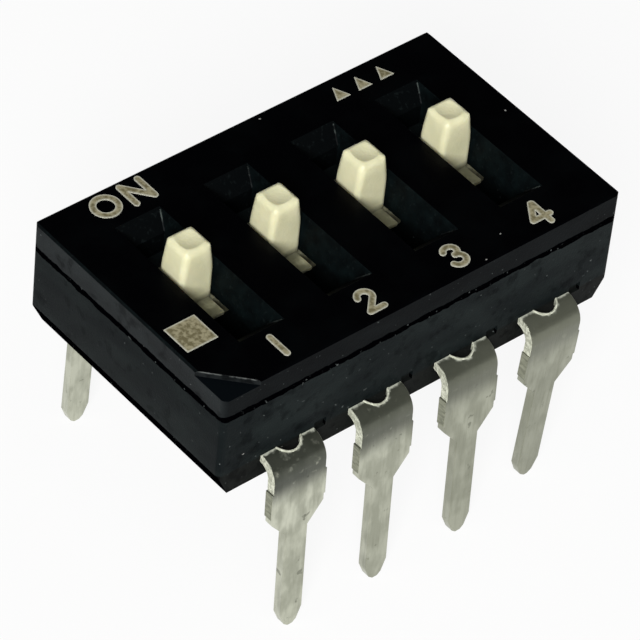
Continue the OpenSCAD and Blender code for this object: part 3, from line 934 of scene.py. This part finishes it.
def build_print(name, node):
    mesh = merged_mesh(node)
    bm = bmesh.new()
    bm.from_mesh(mesh)
    segments = edge_segments(bm)
    cut_into_grid(bm, *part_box(node))
    bm.to_mesh(mesh)
    bm.free()
    points = np.array([v.co.xy[:] for v in mesh.vertices])
    rim = np.clip(1 - distance_to(points, segments) / RIM_WIDTH, 0, 1)
    layer = mesh.attributes.new(RIM, "FLOAT", "POINT")
    layer.data.foreach_set("value", rim.astype(np.float32))
    mesh.materials.append(print_ink)
    piece = new_piece(name, mesh)
    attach(piece, "housing")
    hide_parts(node)
    return piece


prints = [build_print(f"{word}_ink", f"print_{word}") for word in ("on", "numbers", "marks")]
print("ink points:", [len(p.data.vertices) for p in prints])

# %% [markdown]
# ## Small things that Geometry Nodes make
# A fillet runs down each corner of a funnel, where the steel was rounded. A thin burr
# follows each lock hole's lip, where the punch tore the tin. Specks of dust and flash lie
# here and there on the face and on the front. Each is a small node tree with named sizes,
# whose result is kept as a plain mesh.

# %% Node-tree helpers
def new_group(name, sizes):
    """A Geometry Nodes tree with a geometry input and named sizes."""
    group = bpy.data.node_groups.new(name, "GeometryNodeTree")
    group.interface.new_socket("Geometry", in_out="INPUT", socket_type="NodeSocketGeometry")
    for label, kind in sizes:
        group.interface.new_socket(label, in_out="INPUT", socket_type=kind)
    group.interface.new_socket("Geometry", in_out="OUTPUT", socket_type="NodeSocketGeometry")
    return group, add(group, "NodeGroupInput").outputs


def close_group(group, geometry, material):
    """Realizes the instances, sets the material and links the output."""
    real = add(group, "GeometryNodeRealizeInstances", {"Geometry": geometry})
    done = add(group, "GeometryNodeSetMaterial",
               {"Geometry": real.outputs["Geometry"], "Material": material})
    add(group, "NodeGroupOutput", {"Geometry": done.outputs["Geometry"]})


def grown(name, carrier, group, values):
    """The plain mesh that a tree makes on a carrier mesh, as a new piece."""
    holder = new_piece(name, carrier)
    growth = holder.modifiers.new("growth", "NODES")
    growth.node_group = group
    for item in group.interface.items_tree:
        if item.item_type == "SOCKET" and item.name in values:
            growth[item.identifier] = values[item.name]
    bpy.context.view_layer.update()
    made = bpy.data.meshes.new_from_object(
        holder.evaluated_get(bpy.context.evaluated_depsgraph_get()))
    holder.modifiers.clear()
    holder.data = made
    return holder


print("helpers: new_group, close_group, grown")

# %% Fillets down the funnels' corners
def funnel_corners():
    """The edges where two walls of a funnel meet, a little shorter than they are."""
    mesh = cover.data
    pairs = []
    for edge in mesh.edges:
        ends = sorted((mesh.vertices[k].co for k in edge.vertices), key=lambda c: -c.z)
        run = ends[1] - ends[0]
        inside = abs(ends[0].y) < FUNNELS_Y and abs(ends[0].x) < cover_high.x - 0.5 * MM
        slanted = min(abs(run.x), abs(run.y), abs(run.z)) > 0.05 * MM
        if inside and slanted and abs(ends[0].z - top_z) < CLOSE:
            pairs.append((ends[0] + run * 0.12, ends[1] - run * 0.05))
    mesh = bpy.data.meshes.new("funnel_corners")
    points = [tuple(p) for pair in pairs for p in pair]
    mesh.from_pydata(points, [(2 * k, 2 * k + 1) for k in range(len(pairs))], [])
    return mesh


def tube_tree(name, material):
    group, given = new_group(name, [("Radius", "NodeSocketFloat")])
    path = add(group, "GeometryNodeMeshToCurve", {"Mesh": given["Geometry"]})
    round_bar = add(group, "GeometryNodeCurvePrimitiveCircle",
                    {"Resolution": 10, "Radius": given["Radius"]})
    tube = add(group, "GeometryNodeCurveToMesh",
               {"Curve": path.outputs["Curve"], "Profile Curve": round_bar.outputs["Curve"],
                "Fill Caps": True})
    close_group(group, tube.outputs["Mesh"], material)
    return group


# The fillets carry a painted highlight on their upper part.
fillets = grown("funnel_fillets", funnel_corners(), tube_tree("funnel_fillet", fillet_pbt),
                {"Radius": 0.022 * MM})
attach(fillets, "housing")
print("fillets:", len(fillets.data.polygons), "faces")

# %% Burrs along the lock holes
def hole_lips():
    """The outer halves of the lock holes' upper edges, as loose edges."""
    bm = bmesh.new()
    for i, lead in enumerate(leads, 1):
        axis = hole_axis(i)
        for edge in lead.data.edges:
            first, second = (lead.data.vertices[k].co for k in edge.vertices)
            far = max(abs((end.xy - axis).length - HOLE_R) for end in (first, second))
            outside = min(abs(first.y), abs(second.y)) > base_high.y - 0.02 * MM
            upper = min(first.z, second.z) > parting_z - 0.15 * MM
            level = abs(first.z - second.z) < 0.8 * (first.xy - second.xy).length
            if far < CLOSE and outside and upper and level:
                bm.edges.new([bm.verts.new(first), bm.verts.new(second)])
    bmesh.ops.remove_doubles(bm, verts=bm.verts[:], dist=MERGE)
    mesh = bpy.data.meshes.new("hole_lips")
    bm.to_mesh(mesh)
    bm.free()
    return mesh


burrs = grown("lock_hole_burrs", hole_lips(), tube_tree("hole_burr", edge_tin),
              {"Radius": 0.028 * MM})
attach(burrs, "housing")
print("burrs:", len(burrs.data.polygons), "faces")

# %% Specks of dust
# An ico sphere that was divided twice has this many faces.
SPECK_FACES = 80


def speck_material(name):
    made, tree, shader = new_material(name, **{"Roughness": 0.9})
    patchy = drift(tree, object_place(tree), 0.05, 0.3, 0.7)
    colour = coated(tree, "#5e5e5a", [(patchy, 1.0, "#a2a29c")])
    tree.links.new(colour, shader.inputs["Base Color"])
    return made


def dusty_faces():
    """Copies of the triangles that look up or forward, as the ground for the dust. They are
    the mesh's own triangles, which leave the funnels' openings free."""
    bm = bmesh.new()
    for piece in (base, cover):
        mesh = piece.data
        mesh.calc_loop_triangles()
        for part in mesh.loop_triangles:
            corners = [mesh.vertices[k].co for k in part.vertices]
            up_face = part.normal.z > 0.99 and corners[0].z > top_z - 0.2 * MM
            front = part.normal.y < -0.99 and corners[0].y < base_low.y + 0.1 * MM
            if up_face or front:
                bm.faces.new([bm.verts.new(corner) for corner in corners])
    mesh = bpy.data.meshes.new("dusty_faces")
    bm.to_mesh(mesh)
    bm.free()
    return mesh


def speck_tree(material):
    group, given = new_group("scattered_specks", [
        ("Per square metre", "NodeSocketFloat"), ("Speck radius", "NodeSocketFloat"),
        ("Seed", "NodeSocketInt")])
    spread = add(group, "GeometryNodeDistributePointsOnFaces",
                 {"Mesh": given["Geometry"], "Density": given["Per square metre"],
                  "Seed": given["Seed"]})
    grain = add(group, "GeometryNodeMeshIcoSphere",
                {"Radius": given["Speck radius"], "Subdivisions": 2})
    shape = add(group, "FunctionNodeRandomValue",
                {"Min": (0.5, 0.4, 0.1), "Max": (1.4, 0.9, 0.45), "Seed": given["Seed"]},
                data_type="FLOAT_VECTOR")
    placed = add(group, "GeometryNodeInstanceOnPoints",
                 {"Points": spread.outputs["Points"], "Instance": grain.outputs["Mesh"],
                  "Rotation": spread.outputs["Rotation"], "Scale": shape.outputs["Value"]})
    close_group(group, placed.outputs["Instances"], material)
    return group


dust = grown("dust_specks", dusty_faces(), speck_tree(speck_material("pale_dust")),
             {"Per square metre": 0.11 / MM ** 2, "Speck radius": 0.032 * MM, "Seed": 9})
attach(dust, "housing")
print("specks:", len(dust.data.polygons) // SPECK_FACES)

# %% [markdown]
# ## Floor and backdrop
# A pale disc with a low rim. It takes the object's shadow, and what the camera and a
# mirror-like surface see of it is lifted most of the way to white, so that the paleness
# doesn't come from more light on the object.

# %% Floor with a low rim
FLOOR_R = 0.6
FLOOR_RIM_H = 0.06
FLOOR_CURVE = 0.05


def build_floor():
    profile = [(0, 0), (0.1, 0), (0.3, 0), (FLOOR_R - FLOOR_CURVE, 0)]
    for angle in np.radians(np.linspace(15, 90, 6)):
        profile.append((FLOOR_R - FLOOR_CURVE + FLOOR_CURVE * math.sin(angle),
                        FLOOR_CURVE * (1 - math.cos(angle))))
    profile.append((FLOOR_R, FLOOR_RIM_H))
    bm = bmesh.new()
    verts = [bm.verts.new((r, 0, z)) for r, z in profile]
    for first, second in zip(verts, verts[1:]):
        bm.edges.new((first, second))
    bmesh.ops.spin(bm, geom=bm.verts[:] + bm.edges[:], cent=(0, 0, 0), axis=(0, 0, 1),
                   angle=2 * math.pi, steps=96, use_merge=True)
    bmesh.ops.remove_doubles(bm, verts=bm.verts, dist=1e-6)
    bmesh.ops.recalc_face_normals(bm, faces=bm.faces)
    mesh = bpy.data.meshes.new("floor")
    bm.to_mesh(mesh)
    bm.free()
    mesh.shade_smooth()
    return new_piece("floor", mesh)


def pale_paper(name):
    made = bpy.data.materials.new(name)
    made.use_nodes = True
    tree = made.node_tree
    tree.nodes.clear()
    matt = add(tree, "ShaderNodeBsdfDiffuse", {"Color": linear("#f4f4f2")})
    white = add(tree, "ShaderNodeEmission", {"Color": (1, 1, 1, 1), "Strength": 1.0})
    ray = add(tree, "ShaderNodeLightPath")
    seen = add(tree, "ShaderNodeMath",
               {"Value": ray.outputs["Is Camera Ray"], "Value_001": ray.outputs["Is Glossy Ray"]},
               operation="MAXIMUM")
    seen = add(tree, "ShaderNodeMath",
               {"Value": seen.outputs["Value"], "Value_001": ray.outputs["Is Transmission Ray"]},
               operation="MAXIMUM")
    lift = add(tree, "ShaderNodeMath", {"Value": seen.outputs["Value"], "Value_001": 0.9},
               operation="MULTIPLY")
    both = add(tree, "ShaderNodeMixShader",
               {"Fac": lift.outputs["Value"], "Shader": matt.outputs["BSDF"],
                "Shader_001": white.outputs["Emission"]})
    add(tree, "ShaderNodeOutputMaterial", {"Surface": both.outputs["Shader"]})
    return made


floor = build_floor()
floor.data.materials.append(pale_paper("pale_paper"))
print("floor", FLOOR_R, "m in radius")

# %% [markdown]
# ## Light
# A strong soft box stands on the side of the corner with the step and lights both sides of
# the knobs. A weak one high up reaches down into the slots. The room behind is dark,
# because the cover's polished face and the leads' bends mirror it.

# %% Soft boxes and a dim room
def soft_box(name, towards, distance, size, watts):
    lamp = bpy.data.lights.new(name, "AREA")
    lamp.shape = "DISK"
    lamp.size = size
    lamp.energy = watts
    holder = bpy.data.objects.new(name, lamp)
    way = Vector(towards).normalized()
    middle = Vector((0, 0, (underside_z + top_z) / 2))
    holder.matrix_world = (Matrix.Translation(middle + way * distance)
                           @ way.to_track_quat("Z", "Y").to_matrix().to_4x4())
    scene.collection.objects.link(holder)


soft_box("corner_soft_box", (-0.62, -0.56, 0.55), 0.35, 0.13, 1.46)
soft_box("high_soft_box", (-0.25, -0.35, 0.9), 0.4, 0.22, 0.19)
world = bpy.data.worlds.new("dim_room")
world.use_nodes = True
world.node_tree.nodes["Background"].inputs["Color"].default_value = linear("#47494b")
scene.world = world
scene.view_settings.view_transform = "Standard"
print("two soft boxes, world at", [round(c, 3) for c in linear("#47494b")[:3]])

# %% [markdown]
# ## Camera
# A long lens, a good ten centimetres away, looks down on the corner with the step. The
# camera is placed by the point on the cover that it looks at, its bearing, its height
# angle and a small roll.

# %% Camera
AIM = Vector((-2.549 * MM, -2.699 * MM, top_z))
BEARING = math.radians(-44.003)
HEIGHT_ANGLE = math.radians(43.75)
ROLL = math.radians(6.334)
DISTANCE = 105.18 * MM

away = Vector((math.sin(BEARING) * math.cos(HEIGHT_ANGLE),
               -math.cos(BEARING) * math.cos(HEIGHT_ANGLE),
               math.sin(HEIGHT_ANGLE)))
right = Vector((0, 0, 1)).cross(away).normalized()
up = away.cross(right)
turned_right = right * math.cos(ROLL) + up * math.sin(ROLL)
turned_up = up * math.cos(ROLL) - right * math.sin(ROLL)
lens_data = bpy.data.cameras.new("camera")
lens_data.lens = 269.0
lens_data.sensor_width = 36.0
lens_data.clip_start = 0.01
lens_data.clip_end = 5.0
camera = bpy.data.objects.new("camera", lens_data)
camera.matrix_world = (Matrix.Translation(AIM + away * DISTANCE)
                       @ Matrix((turned_right, turned_up, away)).transposed().to_4x4())
scene.collection.objects.link(camera)
scene.camera = camera
print("camera at", [round(c / MM, 1) for c in camera.matrix_world.translation], "mm")
